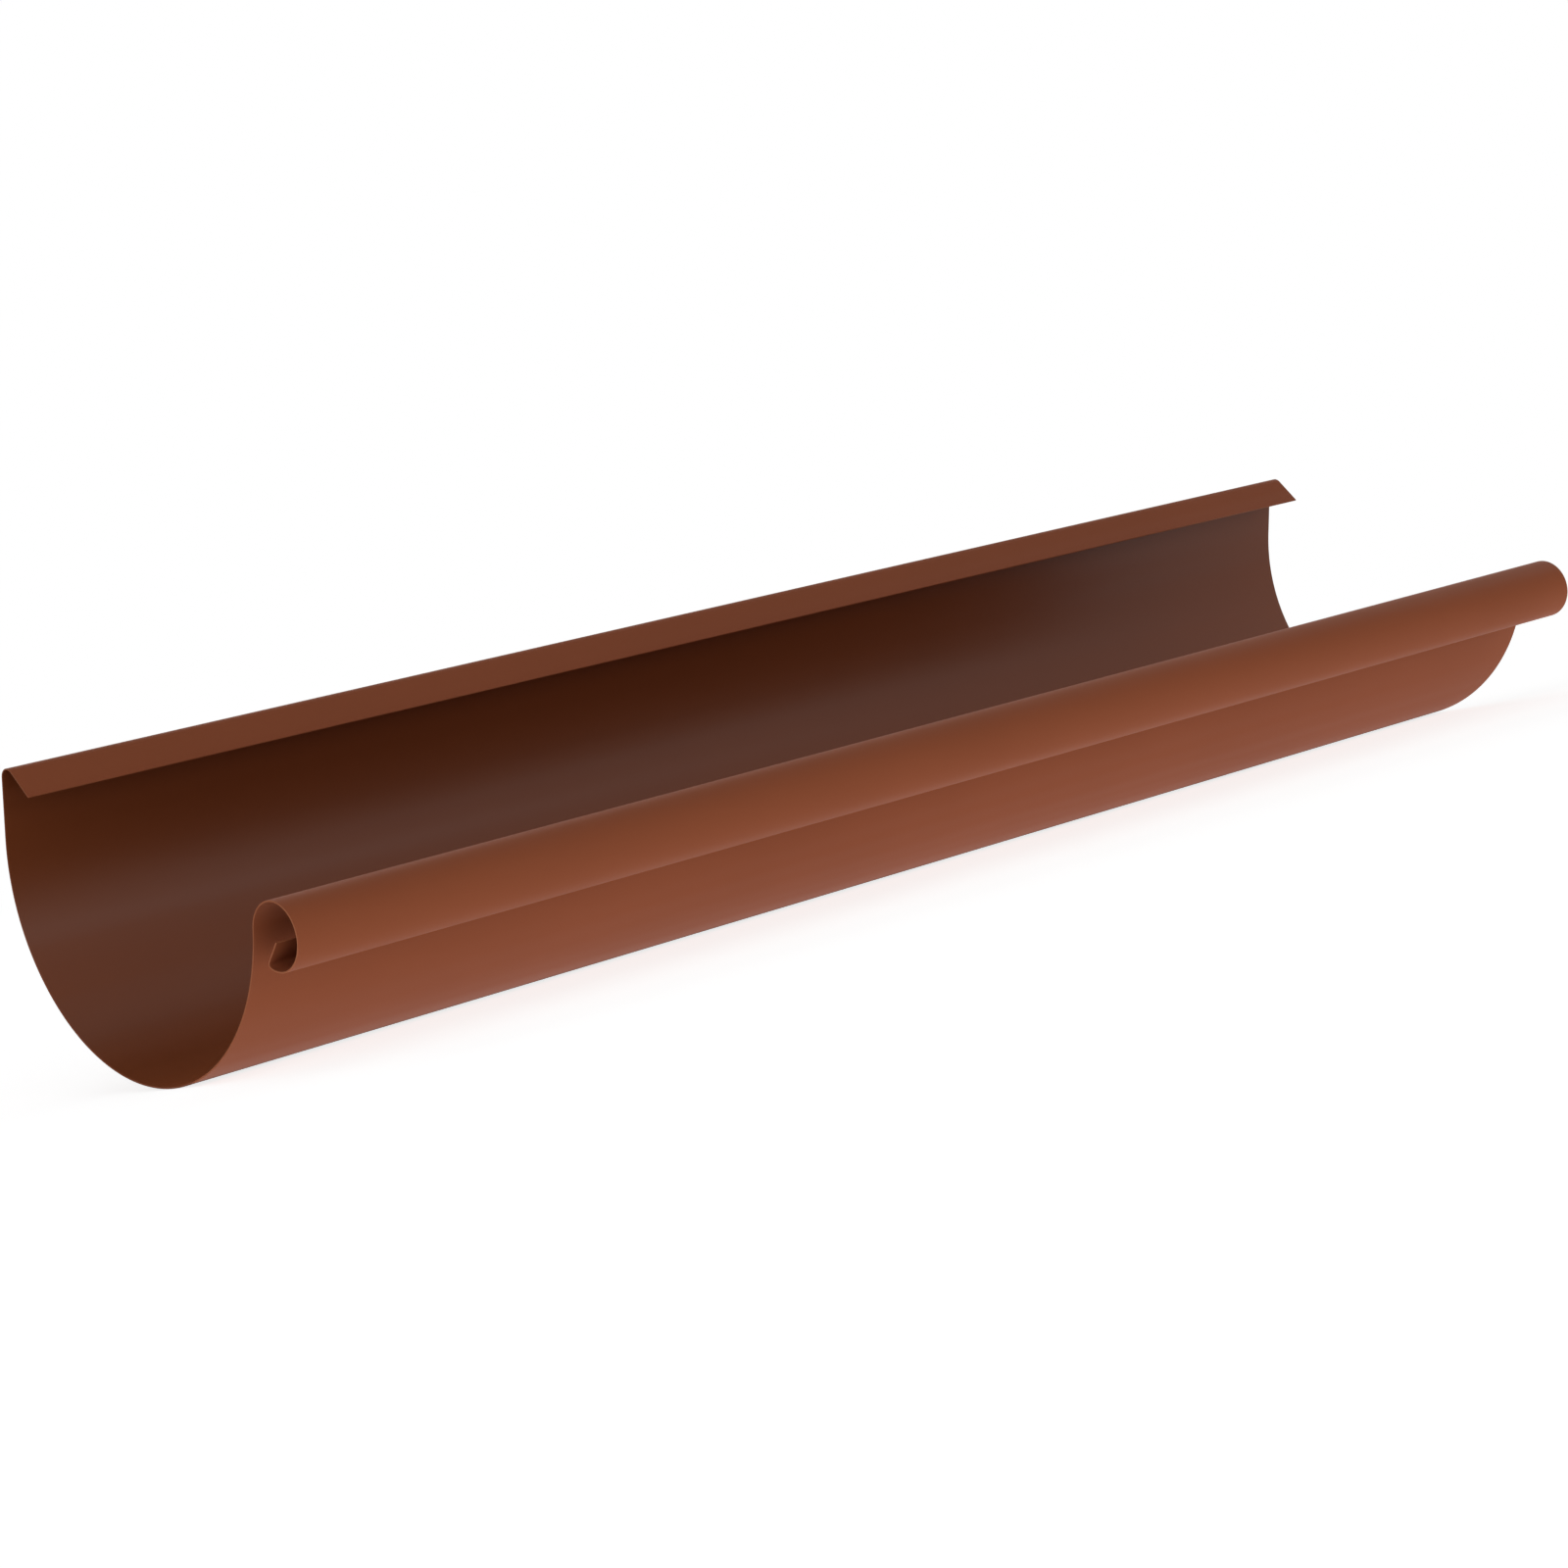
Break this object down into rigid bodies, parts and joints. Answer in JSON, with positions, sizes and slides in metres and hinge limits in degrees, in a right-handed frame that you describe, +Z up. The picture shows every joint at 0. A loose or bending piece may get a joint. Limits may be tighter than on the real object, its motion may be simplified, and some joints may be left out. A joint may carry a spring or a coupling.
{
  "type": "gutter section",
  "caption": "Half-round sheet-metal roof gutter section: open trough with a hollow rolled bead along the front and a folded lip on a raised rear wall, both ends cut square.",
  "frame": {"origin": "on the floor, at the middle of the bounding box's bottom face; the trough's axis is 62.8 mm above it and 8.58 mm towards +Y", "axes": "+X along the gutter, +Y towards the rear wall and lip, -Y towards the bead, +Z up; the section is rolled 17.92 degrees about +X from its level, fixed attitude, bead side down, as it comes to rest unheld"},
  "size_m": [0.6, 0.1426, 0.1028],
  "materials": {
    "coated_steel": "satin"
  },
  "bodies": {
    "root": {"gutter_section": "coated_steel"}
  },
  "joints": []
}
